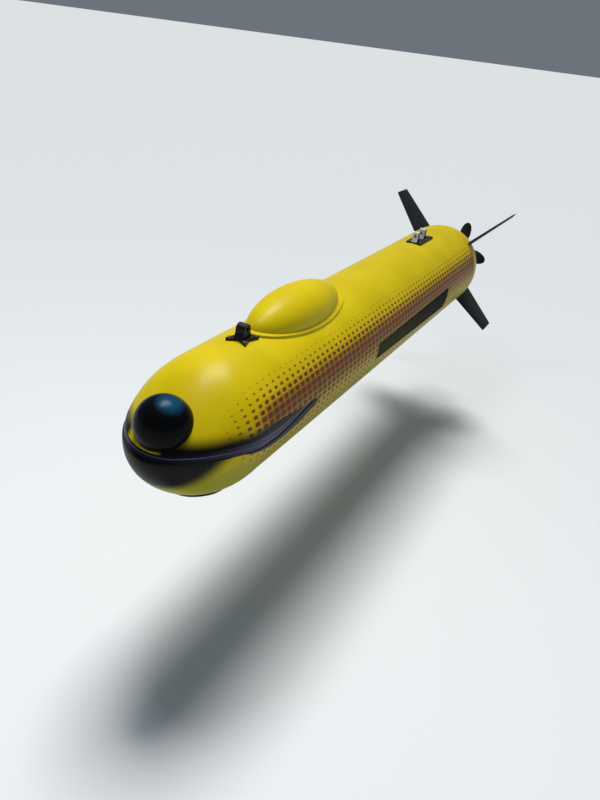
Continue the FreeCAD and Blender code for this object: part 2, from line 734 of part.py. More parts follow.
def rear_lug():
    x = rear_joint + s["rearLugAhead"]
    length, width = s["rearPlateLength"], s["rearPlateWidth"]
    plate = box("rear_plate_blank", length, width, s["rearPlateHeight"] * 2, x - length / 2, -width / 2,
                hull - s["rearPlateHeight"])
    seat = cylinder("rear_plate_seat", hull, length * 2, x - length, turn=ALONG_X)
    holes = vertical_holes("rear_plate_hole", rear_bolts())
    keep("rear_lug_plate", cut("rear_lug_plate", plate, [seat] + holes))
    for name, side in (("fore", 1), ("aft", -1)):
        body = new_body("rear_lift_eye_" + name)
        sketch = new_sketch(body, "XZ_Plane", -s["postWidth"] / 2)
        half, tip = s["postBase"] / 2, s["postTop"] / 2
        head = s["lugHeight"] - s["rearPlateHeight"]
        outline(sketch, [
            (-half, ZERO), (half, ZERO), (tip, s["postShoulder"]), (tip, head - tip, tip, 1),
            (ZERO, head, tip, 1), (-tip, head - tip), (-tip, s["postShoulder"]),
        ])
        pad(body, sketch, s["postWidth"])
        post_x = x + s["postAhead"] + s["postSpacing"] * side / 2
        place(body, post_x, 0, hull + s["rearPlateHeight"])
        eye = cylinder("rear_eye_bore_" + name, s["postEye"], s["postBase"] * 2, post_x - s["postBase"],
                       0, hull + s["postEyeHeight"], ALONG_X)
        keep("rear_lift_eye_" + name, cut("rear_eye_" + name, body, [eye]))


def lugs():
    front_lug()
    rear_lug()
    bolt_group("front_lug_bolts", front_bolts(), s["lugFoot"])
    bolt_group("rear_lug_bolts", rear_bolts(), s["rearPlateHeight"])
    backing_plate("front_lug_backing", shoulder - s["frontLugBack"], s["lugLength"], s["lugWidth"],
                  front_bolts())
    backing_plate("rear_lug_backing", rear_joint + s["rearLugAhead"], s["rearPlateLength"],
                  s["rearPlateWidth"], rear_bolts())


# ---------------------------------------------------------------- frames and pressure hull

def frames():
    pressure = s["pressureRadius"]
    rings = [
        ("shoulder_frame", shoulder - s["shoulderFrameBack"], s["frameWidth"], s["shoulderBore"]),
        ("forward_frame", shoulder - s["foreFrameBack"], s["frameWidth"], pressure),
        ("front_splice_frame", front_joint - s["spliceWidth"] / 2, s["spliceWidth"], pressure),
        ("mid_frame", front_joint - s["midFrameBack"], s["frameWidth"], pressure),
        ("rear_splice_frame", rear_joint - s["spliceWidth"] / 2, s["spliceWidth"], s["spliceBore"]),
        ("tail_splice_frame", tail_joint, s["spliceWidth"] / 2, s["spliceBore"]),
    ]
    arrays = [pieces["port_sonar_array"], pieces["starboard_sonar_array"]]
    for name, x, width, bore in rings:
        ring = plate_with_bores(name + "_ring", "YZ_Plane", shell_inside - s["framePlay"], width,
                                [(bore, ZERO, ZERO)])
        place(ring, x)
        notched = name in ("front_splice_frame", "mid_frame")
        keep(name, cut(name, ring, arrays) if notched else ring)


def pressure_hull():
    """Tube with two hemispherical ends; the front one stops short of the shoulder frame."""
    back = pressure_back
    outer, inner = s["pressureRadius"], s["pressureRadius"] - s["pressureWall"]
    tube = plate_with_bores("pressure_tube", "YZ_Plane", outer, s["pressureLength"], [(inner, ZERO, ZERO)])
    keep("pressure_tube", place(tube, back))
    for name, x, turn in (("pressure_dome_front", back + s["pressureLength"], Rotation()),
                          ("pressure_dome_rear", back, Rotation(Vector(0, 0, 1), 180))):
        body = new_body(name)
        sketch = new_sketch(body, "XZ_Plane")
        outline(sketch, [
            (outer, ZERO, outer, 1), (ZERO, outer), (ZERO, inner, inner, -1), (inner, ZERO),
        ])
        revolve(body, sketch, "H_Axis")
        keep(name, place(body, x, turn=turn))


def battery_packs():
    """Three equal round packs in a row and a rack of boards ahead of them."""
    back = pressure_back
    radius = s["pressureRadius"] - s["pressureWall"] - s["batteryPlay"]
    pitch = s["batteryLength"] + s["batteryGap"]
    packs = []
    for number in range(3):
        packs.append(cylinder("battery_%d" % number, radius, s["batteryLength"],
                              back + pitch * number, turn=ALONG_X))
    group = doc.addObject("Part::Compound", "battery_packs")
    group.Links = packs
    keep("battery_packs", group)
    rack_x = back + pitch * 3
    rack = [cylinder("rack_plate_%d" % number, radius, s["rackPlate"],
                     rack_x + (s["rackLength"] - s["rackPlate"]) * number / 3, turn=ALONG_X)
            for number in range(4)]
    for number in range(4):
        angle = Size(45 + 90 * number, str(45 + 90 * number))
        rail = radius - s["rackRail"] * 2
        rack.append(cylinder("rack_rail_%d" % number, s["rackRail"], s["rackLength"], rack_x,
                             rail * cosine(angle), rail * sine(angle), ALONG_X))
    keep("electronics_rack", joined("electronics_rack", rack))


def foam_block(name, start, end):
    """Upper half ring of buoyancy foam from one frame to the next."""
    inner = s["pressureRadius"] + s["foamPlay"]
    outside = cylinder(name + "_out", inner + s["foamDepth"], end - start, start, turn=ALONG_X)
    ring = cut(name + "_ring", outside,
               [cylinder(name + "_in", inner, end - start, start, turn=ALONG_X)])
    half = box(name + "_half", end - start, hull * 2, hull, start, -hull, s["foamLow"])
    return common(name, ring, half)


def buoyancy_and_ballast():
    splice = s["spliceWidth"] / 2
    group = doc.addObject("Part::Compound", "foam_blocks")
    group.Links = [
        foam_block("forward_foam", front_joint + splice, shoulder - s["foreFrameBack"]),
        foam_block("middle_foam", front_joint - s["midFrameBack"] + s["frameWidth"], front_joint - splice),
    ]
    keep("foam_blocks", group)
    start = shoulder - s["foreFrameBack"] + s["frameWidth"]
    low = -s["pressureRadius"] - s["foamPlay"] - s["ballastDepth"]
    block = box("ballast_block", s["ballastLength"], s["ballastHalf"] * 2, s["ballastDepth"] * 2, start,
                -s["ballastHalf"], low)
    room = cylinder("ballast_room", s["pressureRadius"] + s["foamPlay"], s["ballastLength"] * 2,
                    start - s["ballastLength"] / 2, turn=ALONG_X)
    keep("trim_ballast", cut("trim_ballast", block, [room]))


# ---------------------------------------------------------------- tail

def tail_outline(grow):
    """Outer line of the tail, moved out by grow; x runs back from the tail joint."""
    turn = s["tailTurn"] + grow
    run = turn * sine(s["tailAngle"])
    drop = hull + grow - turn * (1 - cosine(s["tailAngle"]))
    return turn, run, drop


def tail_fairing():
    body = new_body("tail_fairing_body")
    sketch = new_sketch(body, "XZ_Plane")
    turn, run, drop = tail_outline(ZERO)
    inner_turn, inner_run, inner_drop = tail_outline(-s["shellWall"])
    shelf = -tail_length + s["bearingLength"]
    outline(sketch, [
        (ZERO, hull, turn, 1),
        (-run, drop),
        (-tail_length, s["tailEnd"]),
        (-tail_length, s["bearingRadius"]),
        (shelf, s["bearingRadius"]),
        (shelf, inner_drop + (shelf + inner_run) * tail_slope),
        (-inner_run, inner_drop, inner_turn, -1),
        (ZERO, shell_inside),
    ])
    revolve(body, sketch, "H_Axis")
    place(body, tail_joint - s["jointGap"])
    holes = [radial_cylinder("tail_bush_hole_%d" % number, s["bushRadius"], s["finFrameBore"], hull, angle)
             for number, (name, angle) in enumerate(FINS)]
    keep("tail_fairing", cut("tail_fairing", body, holes))


FINS = [("upper_port", s["finAngle"]), ("upper_starboard", 180 - s["finAngle"]),
        ("lower_starboard", 180 + s["finAngle"]), ("lower_port", 360 - s["finAngle"])]
stock_x = tail_joint + s["finAhead"] - s["finStockBack"]


def radial_cylinder(name, radius, low, high, angle):
    """Cylinder on a fin's axis between two distances from the hull axis."""
    return cylinder(name, radius, high - low, stock_x, low * cosine(angle), low * sine(angle),
                    toward(angle.value))


def tail_solid(grow):
    """The tail's outside as one solid of revolution, moved out by grow."""
    turn, run, drop = [size.value for size in tail_outline(as_size(grow))]
    x = tail_joint.value - s["jointGap"].value
    length = tail_length.value
    bend = math.radians(s["tailAngle"].value)
    middle = Vector(x - turn * math.sin(bend / 2), 0, hull.value + grow - turn * (1 - math.cos(bend / 2)))
    start = Vector(x, 0, hull.value + grow)
    end = Vector(x - run, 0, drop)
    low = Vector(x - length, 0, drop - (length - run) * tail_slope.value)
    edges = [Part.Arc(start, middle, end).toShape(), Part.makeLine(end, low),
             Part.makeLine(low, Vector(low.x, 0, 0)), Part.makeLine(Vector(low.x, 0, 0), Vector(x, 0, 0)),
             Part.makeLine(Vector(x, 0, 0), start)]
    face = Part.Face(Part.Wire(edges))
    return face.revolve(Vector(0, 0, 0), Vector(1, 0, 0), 360)


def foil_wire(chord, thickness, lead, height):
    """Closed wire of a symmetric foil: chord along X, leading edge at lead, at one height."""
    steps = 14
    upper = []
    for step in range(steps + 1):
        share = (1 - math.cos(math.pi * step / steps)) / 2
        half = 5 * thickness * (0.2969 * math.sqrt(share) - 0.126 * share - 0.3516 * share ** 2
                                + 0.2843 * share ** 3 - 0.1036 * share ** 4)
        upper.append(Vector(lead - chord * share, half, height))
    lower = [Vector(point.x, -point.y, height) for point in upper[:-1]]
    line = upper[::-1] + lower[1:]
    points = line + [upper[-1]]
    curve = Part.BSplineCurve()
    curve.interpolate(Points=points, Parameters=[number / len(points) for number in range(len(points))])
    return Part.Wire([curve.toShape()])


def fin_blank(low):
    """Swept, tapered fin with its stock axis on Z, from a height inside the tail to the tip."""
    tip, first = s["finTip"].value, hull.value
    lead = s["finStockBack"].value
    sections = []
    for height in (low, tip - s["finEdge"].value):
        share = (height - first) / (tip - first)
        chord = s["finRootChord"].value + share * (s["finTipChord"].value - s["finRootChord"].value)
        thick = s["finRootThick"].value + share * (s["finTipThick"].value - s["finRootThick"].value)
        sections.append(foil_wire(chord, thick, lead - share * s["finSweep"].value, height))
    edge = s["finEdge"].value
    sections.append(foil_wire(chord - 2 * edge, thick / 3, lead - share * s["finSweep"].value - edge, tip))
    return Part.makeLoft(sections, True, True)


def fins():
    clearance = tail_solid(s["finRootGap"].value)
    low = s["finFrameBore"].value
    blank = fin_blank(low)
    for name, angle in FINS:
        shape = blank.copy()
        shape.Placement = Placement(Vector(stock_x.value, 0, 0), toward(angle.value))
        swept = Part.makeCylinder(hull.value + s["finRootGap"].value, hull.value,
                                  Vector(tail_joint.value - s["jointGap"].value, 0, 0), Vector(1, 0, 0))
        shape = shape.cut(clearance.fuse(swept))
        fin = fixed_shape("fin_%s_blank" % name, max(shape.Solids, key=lambda solid: solid.Volume))
        socket = radial_cylinder("socket_" + name, s["stockRadius"], low, hull + s["stockReach"], angle)
        keep("fin_" + name, cut("fin_" + name, fin, [socket]))
        stock = radial_cylinder("stock_" + name, s["stockRadius"], actuator_top() - s["stockDepth"],
                                hull + s["stockReach"], angle)
        keep("stock_" + name, stock)


def actuator_top():
    """Height at which an actuator's flat top meets the round inside of the fin frame."""
    bore, radius = s["finFrameBore"], s["actuatorRadius"]
    return root(bore * bore - radius * radius)


def fin_gear():
    """Frame ring under the fins, with a bush and an actuator on each fin's axis."""
    x = stock_x - s["finFrameWidth"] / 2
    ring = cut("fin_frame_ring", cylinder("fin_frame_out", hull, s["finFrameWidth"], x, turn=ALONG_X),
               [cylinder("fin_frame_in", s["finFrameBore"], s["finFrameWidth"], x, turn=ALONG_X)])
    inside = fixed_shape("tail_inside", tail_solid(-s["shellWall"].value))
    outside = fixed_shape("tail_outside", tail_solid(0))
    blank = common("fin_frame_blank", ring, inside)
    holes = [radial_cylinder("frame_hole_" + name, s["bushRadius"], ZERO, hull, angle)
             for name, angle in FINS]
    keep("fin_frame", cut("fin_frame", blank, holes))
    bore = s["stockRadius"] + s["runningGap"]
    bushes = []
    actuators = []
    for name, angle in FINS:
        sleeve = cut("bush_tube_" + name,
                     radial_cylinder("bush_out_" + name, s["bushRadius"], s["finFrameBore"], hull, angle),
                     [radial_cylinder("bush_in_" + name, bore, ZERO, hull, angle)])
        bushes.append(common("bush_" + name, sleeve, outside))
        case = radial_cylinder("actuator_case_" + name, s["actuatorRadius"],
                               actuator_top() - s["actuatorLength"], actuator_top(), angle)
        shaft = radial_cylinder("actuator_bore_" + name, bore,
                                actuator_top() - s["stockDepth"] - s["runningGap"], hull, angle)
        actuators.append(cut("actuator_" + name, case, [shaft]))
    for name, things in (("fin_bushes", bushes), ("fin_actuators", actuators)):
        group = doc.addObject("Part::Compound", name)
        group.Links = things
        keep(name, group)


# ---------------------------------------------------------------- propulsion

def lens_wire(chord, thickness, height):
    """Closed wire of a blade section with two sharp edges, its chord along X, at one height."""
    steps = 4
    shares = [step / steps for step in range(steps + 1)]
    edges = []
    for side in (1, -1):
        points = [Vector(chord * (0.5 - share), side * thickness / 2 * (1 - (1 - 2 * share) ** 2), height)
                  for share in shares]
        curve = Part.BSplineCurve()
        curve.interpolate(Points=points if side > 0 else points[::-1], Parameters=shares)
        edges.append(curve.toShape())
    return Part.Wire(edges)


def blade(angle):
    """One blade: sharp-edged sections on a helix, broad and round at the tip."""
    tip, low = s["propRadius"].value, s["bearingRadius"].value
    reach = tip - s["bladeTipCut"].value - low
    widest = s["bladeWidest"].value
    root_chord, full_chord = s["bladeRootChord"].value, s["bladeChord"].value
    steps = 8
    middle = (hub_front.value + hub_back.value) / 2
    sections = []
    for step in range(steps + 1):
        radius = low + reach * math.sin(math.pi / 2 * step / steps)
        if radius > widest:
            chord = full_chord * math.sqrt(1 - ((radius - widest) / (tip - widest)) ** 2)
        else:
            chord = root_chord + (full_chord - root_chord) * (radius - low) / (widest - low)
        thin = (radius - low) / (tip - low)
        thick = s["bladeThick"].value * (1 - thin) + s["bladeTipThick"].value * thin
        wire = lens_wire(chord, thick, radius)
        pitch = math.degrees(math.atan2(s["propPitch"].value, 2 * math.pi * radius))
        wire.Placement = Placement(Vector(0, 0, 0), Rotation(Vector(0, 0, 1), 90 - pitch))
        sections.append(wire)
    shape = Part.makeLoft(sections, True, False)
    shape.Placement = Placement(Vector(middle, 0, 0), toward(angle))
    return shape


def propeller():
    hub = Part.makeCylinder(s["tailEnd"].value, s["propHubLength"].value, Vector(hub_back.value, 0, 0),
                            Vector(1, 0, 0))
    count = int(s["bladeCount"].value)
    blades = [blade(s["bladePhase"].value + 360 * number / count) for number in range(count)]
    bore = Part.makeCylinder(s["shaftRadius"].value, 3 * s["propHubLength"].value,
                             Vector(hub_back.value - s["propHubLength"].value, 0, 0), Vector(1, 0, 0))
    shape = hub.fuse(blades).cut(bore)
    keep("propeller", fixed_shape("propeller", max(shape.Solids, key=lambda solid: solid.Volume)))
    body = new_body("spinner")
    sketch = new_sketch(body, "XZ_Plane")
    radius, length = s["tailEnd"], s["spinnerLength"]
    nose = (radius * radius + length * length) / (length * 2)
    outline(sketch, [(ZERO, ZERO), (ZERO, radius, nose, 1), (-length, ZERO)])
    revolve(body, sketch, "H_Axis")
    keep("spinner", place(body, hub_back))


def drive():
    """Motor on its plate, the shaft through the end bearing, and the bearing."""
    bearing_x = tail_end - s["jointGap"]
    motor_back = bearing_x + s["bearingLength"] + s["motorGap"]
    bore = s["shaftRadius"] + s["runningGap"]
    bearing = plate_with_bores("shaft_bearing", "YZ_Plane", s["bearingRadius"], s["bearingLength"],
                               [(bore, ZERO, ZERO)])
    keep("shaft_bearing", place(bearing, bearing_x))
    case = cylinder("motor_case", s["motorRadius"], s["motorLength"], motor_back, turn=ALONG_X)
    blind = cylinder("motor_bore", bore, s["motorBore"], motor_back, turn=ALONG_X)
    keep("thruster_motor", cut("thruster_motor", case, [blind]))
    plate_x = motor_back + s["motorLength"] - s["motorPlate"]
    ring = plate_with_bores("motor_ring", "YZ_Plane", hull, s["motorPlate"],
                            [(s["motorRadius"], ZERO, ZERO)])
    place(ring, plate_x)
    inside = fixed_shape("tail_inside_again", tail_solid(-s["shellWall"].value))
    keep("motor_bulkhead", common("motor_bulkhead", ring, inside))
    shaft_length = motor_back + s["motorBore"] - s["runningGap"] - hub_back
    shaft = cylinder("propeller_shaft", s["shaftRadius"], shaft_length, hub_back, turn=ALONG_X)
    keep("propeller_shaft", shaft)


def check(names):
    """Stop if any object failed or any sub-part's shape isn't sound."""
    for thing in doc.Objects:
        if "Invalid" in thing.State or "Error" in thing.State:
            raise RuntimeError("%s failed: %s" % (thing.Name, thing.State))
    for name in names:
        shape = pieces[name].Shape
        if shape.isNull() or not shape.isValid() or not shape.Solids:
            raise RuntimeError("%s has no sound shape" % name)


fore_shells()
mid_shells()
aft_shell()
flank_windows()
forward_sonar_dome()
nose_sonar()
chin_pod()
blister()
lugs()
frames()
pressure_hull()
battery_packs()
buoyancy_and_ballast()
tail_fairing()
fins()
fin_gear()
propeller()
drive()
doc.recompute()
check(pieces)
os.makedirs("parts", exist_ok=True)
for name, thing in pieces.items():
    thing.Shape.exportStep("parts/%s.step" % name)
    bounds = thing.Shape.optimalBoundingBox(False)
    print("%-22s %d solids  x %.1f..%.1f  y %.1f..%.1f  z %.1f..%.1f" % (
        name, len(thing.Shape.Solids), bounds.XMin, bounds.XMax, bounds.YMin, bounds.YMax,
        bounds.ZMin, bounds.ZMax))
print("%d sub-parts" % len(pieces))
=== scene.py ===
import math

import bmesh
import bpy
from mathutils import Matrix, Vector
from mathutils.bvhtree import BVHTree


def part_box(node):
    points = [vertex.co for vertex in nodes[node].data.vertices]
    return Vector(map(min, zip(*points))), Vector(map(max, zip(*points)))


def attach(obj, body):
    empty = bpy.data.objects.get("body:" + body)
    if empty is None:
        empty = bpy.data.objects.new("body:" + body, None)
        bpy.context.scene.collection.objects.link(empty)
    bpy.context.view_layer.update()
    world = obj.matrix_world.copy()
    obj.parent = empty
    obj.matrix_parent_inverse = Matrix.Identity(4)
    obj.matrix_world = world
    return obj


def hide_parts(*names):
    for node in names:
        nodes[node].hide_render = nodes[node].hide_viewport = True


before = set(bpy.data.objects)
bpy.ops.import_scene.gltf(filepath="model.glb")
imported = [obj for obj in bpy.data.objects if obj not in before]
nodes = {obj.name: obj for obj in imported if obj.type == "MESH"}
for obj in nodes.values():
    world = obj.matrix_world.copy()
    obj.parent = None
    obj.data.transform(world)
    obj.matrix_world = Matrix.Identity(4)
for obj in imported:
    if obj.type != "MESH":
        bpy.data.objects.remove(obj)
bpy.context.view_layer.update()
print("frame loaded:", len(nodes), "nodes")


# small helpers for node trees

def put(tree, kind, inputs=None, **settings):  # a node with its inputs set or linked
    item = tree.nodes.new(kind)
    for name, value in settings.items():
        setattr(item, name, value)
    for name, value in (inputs or {}).items():
        if isinstance(value, bpy.types.NodeSocket):
            tree.links.new(value, item.inputs[name])
        else:
            item.inputs[name].default_value = value
    return item


def calc(tree, operation, *values):
    return put(tree, "ShaderNodeMath", dict(enumerate(values)), operation=operation).outputs[0]


def smooth(tree, value, low, high):  # 0 below low, 1 above high, eased between
    inputs = {"Value": value, "From Min": low, "From Max": high}
    return put(tree, "ShaderNodeMapRange", inputs, interpolation_type="SMOOTHSTEP").outputs[0]


def blendColour(tree, share, first, second):
    item = put(tree, "ShaderNodeMix", data_type="RGBA")
    for number, value in ((0, share), (6, first), (7, second)):
        if isinstance(value, bpy.types.NodeSocket):
            tree.links.new(value, item.inputs[number])
        else:
            item.inputs[number].default_value = value
    return item.outputs[2]


def newGroup(name, numbers, results):
    tree = bpy.data.node_groups.new(name, "ShaderNodeTree")
    for label, value in numbers.items():
        socket = tree.interface.new_socket(label, in_out="INPUT", socket_type="NodeSocketFloat")
        socket.default_value = value
    for label in results:
        tree.interface.new_socket(label, in_out="OUTPUT", socket_type="NodeSocketFloat")
    return tree, tree.nodes.new("NodeGroupInput"), tree.nodes.new("NodeGroupOutput")


def useGroup(tree, group, **values):
    item = put(tree, "ShaderNodeGroup", node_tree=group)
    for label, value in values.items():
        item.inputs[label].default_value = value
    return item


def objectXYZ(tree):
    place = put(tree, "ShaderNodeTexCoord").outputs["Object"]
    return put(tree, "ShaderNodeSeparateXYZ", {0: place}).outputs


def newMaterial(name, **values):
    material = bpy.data.materials.new(name)
    material.use_nodes = True
    tree = material.node_tree
    shader = tree.nodes["Principled BSDF"]
    for label, value in values.items():
        shader.inputs[label].default_value = value
    return material, tree, shader


def rgba(red, green, blue):  # display values to linear light
    def linear(value):
        share = value / 255
        return share / 12.92 if share <= 0.04045 else ((share + 0.055) / 1.055) ** 2.4
    return (linear(red), linear(green), linear(blue), 1)


# shared surface effects

dotScreen = {
    "pitchAlong": 0.059,  # metres between dots along the hull
    "pitchAround": 0.0345,
    "hullRadius": 0.350,
    "core": 0.12,  # height of the heaviest row above the waterline, round the hull
    "fadeUp": 0.2,
    "fadeDown": 0.37,
    "largest": 0.43,  # half width of the largest dot, in pitches
    "growth": 0.72,  # how fast the dots grow towards the core
    "squareness": 3.2,  # 2 is a round dot
    "edge": (-0.03, 0.04),
    "smallest": (0.04, 0.1),  # dots fade out below this half width
    "noseEnd": 2.33,
    "noseFull": 1.85,
}


def makeDotScreen(setup):
    tree, given, result = newGroup("dotScreen", {"Largest": setup["largest"]}, ["Mask", "Weight"])
    x, y, z = objectXYZ(tree)
    side = calc(tree, "ABSOLUTE", y)
    around = calc(tree, "MULTIPLY", calc(tree, "ARCTAN2", z, side), setup["hullRadius"])
    rowPlace = calc(tree, "DIVIDE", around, setup["pitchAround"])
    row = calc(tree, "FLOOR", rowPlace)
    across = calc(tree, "SUBTRACT", calc(tree, "SUBTRACT", rowPlace, row), 0.5)
    columnPlace = calc(tree, "DIVIDE", x, setup["pitchAlong"])
    along = calc(tree, "SUBTRACT", calc(tree, "FRACT", columnPlace), 0.5)
    rowHeight = calc(tree, "MULTIPLY", calc(tree, "ADD", row, 0.5), setup["pitchAround"])
    offCore = calc(tree, "SUBTRACT", rowHeight, setup["core"])
    above = calc(tree, "DIVIDE", offCore, setup["fadeUp"])
    below = calc(tree, "DIVIDE", offCore, -setup["fadeDown"])
    off = calc(tree, "MINIMUM", calc(tree, "MAXIMUM", above, below), 1.0)
    column = calc(tree, "MULTIPLY", calc(tree, "ADD", calc(tree, "FLOOR", columnPlace), 0.5),
                  setup["pitchAlong"])
    ahead = smooth(tree, column, setup["noseEnd"], setup["noseFull"])
    weight = calc(tree, "MULTIPLY", calc(tree, "SUBTRACT", 1.0, off), ahead)
    size = calc(tree, "MULTIPLY", calc(tree, "POWER", weight, setup["growth"]), given.outputs["Largest"])
    power = setup["squareness"]
    reach = calc(tree, "ADD", calc(tree, "POWER", calc(tree, "ABSOLUTE", along), power),
                 calc(tree, "POWER", calc(tree, "ABSOLUTE", across), power))
    reach = calc(tree, "POWER", reach, 1 / power)
    edge = calc(tree, "SUBTRACT", size, reach)
    mask = calc(tree, "MULTIPLY", smooth(tree, edge, *setup["edge"]), smooth(tree, size, *setup["smallest"]))
    tree.links.new(mask, result.inputs["Mask"])
    tree.links.new(weight, result.inputs["Weight"])
    return tree


mottle = {
    "scale": 9.0,
    "fine": 260.0,
    "facingUp": (0.2, 0.95),  # dust lies only on what faces up
    "patches": (0.48, 0.72),
}


def makeMottle(setup):
    numbers = {"Scale": setup["scale"], "Fine": setup["fine"]}
    tree, given, result = newGroup("mottle", numbers, ["Cloud", "Grain", "Dust"])
    place = put(tree, "ShaderNodeTexCoord").outputs["Object"]
    broad = put(tree, "ShaderNodeTexNoise", {"Vector": place, "Scale": given.outputs["Scale"],
                                             "Detail": 5.0, "Roughness": 0.55})
    fine = put(tree, "ShaderNodeTexNoise", {"Vector": place, "Scale": given.outputs["Fine"], "Detail": 2.0})
    normal = put(tree, "ShaderNodeSeparateXYZ", {0: put(tree, "ShaderNodeNewGeometry").outputs["Normal"]})
    facingUp = smooth(tree, normal.outputs[2], *setup["facingUp"])
    dust = calc(tree, "MULTIPLY", facingUp, smooth(tree, broad.outputs[0], *setup["patches"]))
    tree.links.new(broad.outputs[0], result.inputs["Cloud"])
    tree.links.new(fine.outputs[0], result.inputs["Grain"])
    tree.links.new(dust, result.inputs["Dust"])
    return tree


dotScreenGroup = makeDotScreen(dotScreen)
mottleGroup = makeMottle(mottle)


def addRelief(tree, shader, height, strength, distance):
    bump = put(tree, "ShaderNodeBump", {"Height": height, "Strength": strength, "Distance": distance})
    tree.links.new(bump.outputs[0], shader.inputs["Normal"])


def addRoughness(tree, shader, wave, low, high):
    tree.links.new(put(tree, "ShaderNodeMapRange", {"Value": wave, "To Min": low, "To Max": high}).outputs[0],
                   shader.inputs["Roughness"])


# finishes

gelcoat = {
    "yellow": rgba(208, 186, 4),
    "deep": rgba(200, 177, 4),
    "dust": rgba(204, 190, 70),
    "dotLight": rgba(168, 84, 12),
    "dotDark": rgba(124, 28, 12),
    "between": rgba(104, 90, 20),  # painted shade along the flank where the dots are largest
    "shade": rgba(8, 7, 7),  # painted shade on the chin and round the mouth band, also the black of the mouth corner
    # painted purple sheen inside the painted shade below the band
    "paintedSheen": rgba(28, 24, 60),
    "green": rgba(116, 126, 30),  # painted shade with green bounce light on the belly
    "coat": 0.14,
    "coatRough": 0.28,
    "shine": 0.06,
    "rough": (0.4, 0.52),
    "cloud": 3.2,
    "grain": 420.0,
    "deepToYellow": (0.35, 0.68),
    "dustShare": 0.06,
    "bellyShadeShare": 0.65,
    "coreShadeFrom": (0.45, 1.0),  # dot weights where the painted shade begins
    "coreShadeShare": 0.9,
    "inkFrom": (0.1, 0.7),
    "inkShare": 0.96,
    "paintedSheenShare": 0.5,
}

# painted shade on the chin and in a dark lens round the mouth band (the black of the mouth corner near its
# aft point, painted shade towards the nose), painted purple sheen below the band, painted shade with green
# bounce light on the belly
noseShade = {
    "chinStart": 2.31,  # painted shade darkens the chin ahead of this at the waterline
    "chinFade": (-0.12, 0.01),
    "chinTop": (0.038, 0.028),
    "cornerX": 1.38,  # where the dark lens round the mouth comes to a point on the flank
    "cornerZ": 0.01,
    "point": 0.02,
    "rise": 0.125,  # slope of its upper edge
    "topLimit": 0.112,
    "belly": 0.07,  # how far it hangs below the corner
    "fullness": 0.8,
    "length": 0.78,
    "edge": 0.006,  # the dark lens is crisp at the corner
    "noseEdge": 0.05,  # and fades this much more near the nose, where it is painted shade
    "noseEdgeFrom": (1.75, 2.2),
    # the painted shade round the mouth begins this far out to port and to starboard
    "port": (0.03, 0.075),
    "starboard": (0.12, 0.17),
    # where the painted purple sheen lies below the band
    "paintedSheenRear": (1.62, 1.92),
    "paintedSheenFront": (2.28, 2.1),
    "paintedSheenTop": (0.045, 0.01),
    # painted shade with green bounce light below this height
    "bellyShadeTop": (0.02, -0.12),
}


def makeNoseShade(setup):
    tree, given, result = newGroup("noseShade", {"Strength": 1.0}, ["Shade", "PaintedBellyShade", "Violet"])
    x, y, z = objectXYZ(tree)

    # painted shade on the front of the chin
    chin = calc(tree, "ADD", calc(tree, "SUBTRACT", x, setup["chinStart"]), z)
    chin = calc(tree, "MULTIPLY", smooth(tree, chin, *setup["chinFade"]), smooth(tree, z, *setup["chinTop"]))

    # a dark lens round the mouth band: the black of the mouth corner near its aft point, painted shade
    # towards the nose
    ahead = calc(tree, "SUBTRACT", x, setup["cornerX"])
    rise = calc(tree, "MULTIPLY", calc(tree, "MAXIMUM", ahead, 0.0), setup["rise"])
    top = calc(tree, "MINIMUM", calc(tree, "ADD", rise, setup["cornerZ"]), setup["topLimit"])
    wave = calc(tree, "SINE", calc(tree, "MULTIPLY", calc(tree, "DIVIDE", ahead, setup["length"]), math.pi))
    full = calc(tree, "POWER", calc(tree, "MAXIMUM", wave, 0.0), setup["fullness"])
    low = calc(tree, "SUBTRACT", setup["cornerZ"], calc(tree, "MULTIPLY", full, setup["belly"]))
    fade = calc(tree, "MULTIPLY", smooth(tree, x, *setup["noseEdgeFrom"]), setup["noseEdge"])
    above = calc(tree, "DIVIDE", calc(tree, "SUBTRACT", top, z), calc(tree, "ADD", fade, setup["edge"]))
    under = calc(tree, "DIVIDE", calc(tree, "SUBTRACT", z, low), setup["edge"])
    starboard = smooth(tree, calc(tree, "MULTIPLY", y, -1.0), *setup["starboard"])
    sides = calc(tree, "MAXIMUM", smooth(tree, y, *setup["port"]), starboard)
    lip = calc(tree, "MULTIPLY", smooth(tree, above, -0.4, 0.8), smooth(tree, under, -0.5, 0.5))
    lip = calc(tree, "MULTIPLY", calc(tree, "MULTIPLY", lip, sides), smooth(tree, ahead, 0.0, setup["point"]))

    shade = calc(tree, "MULTIPLY", calc(tree, "MAXIMUM", chin, lip), given.outputs["Strength"])
    # painted purple sheen below the band near the nose
    paintedSheen = calc(tree, "MULTIPLY", smooth(tree, x, *setup["paintedSheenRear"]),
                  smooth(tree, x, *setup["paintedSheenFront"]))
    paintedSheen = calc(tree, "MULTIPLY", paintedSheen, smooth(tree, z, *setup["paintedSheenTop"]))
    tree.links.new(shade, result.inputs["Shade"])
    # painted shade with green bounce light on the belly
    tree.links.new(smooth(tree, z, *setup["bellyShadeTop"]), result.inputs["PaintedBellyShade"])
    tree.links.new(paintedSheen, result.inputs["Violet"])
    return tree


noseShadeGroup = makeNoseShade(noseShade)


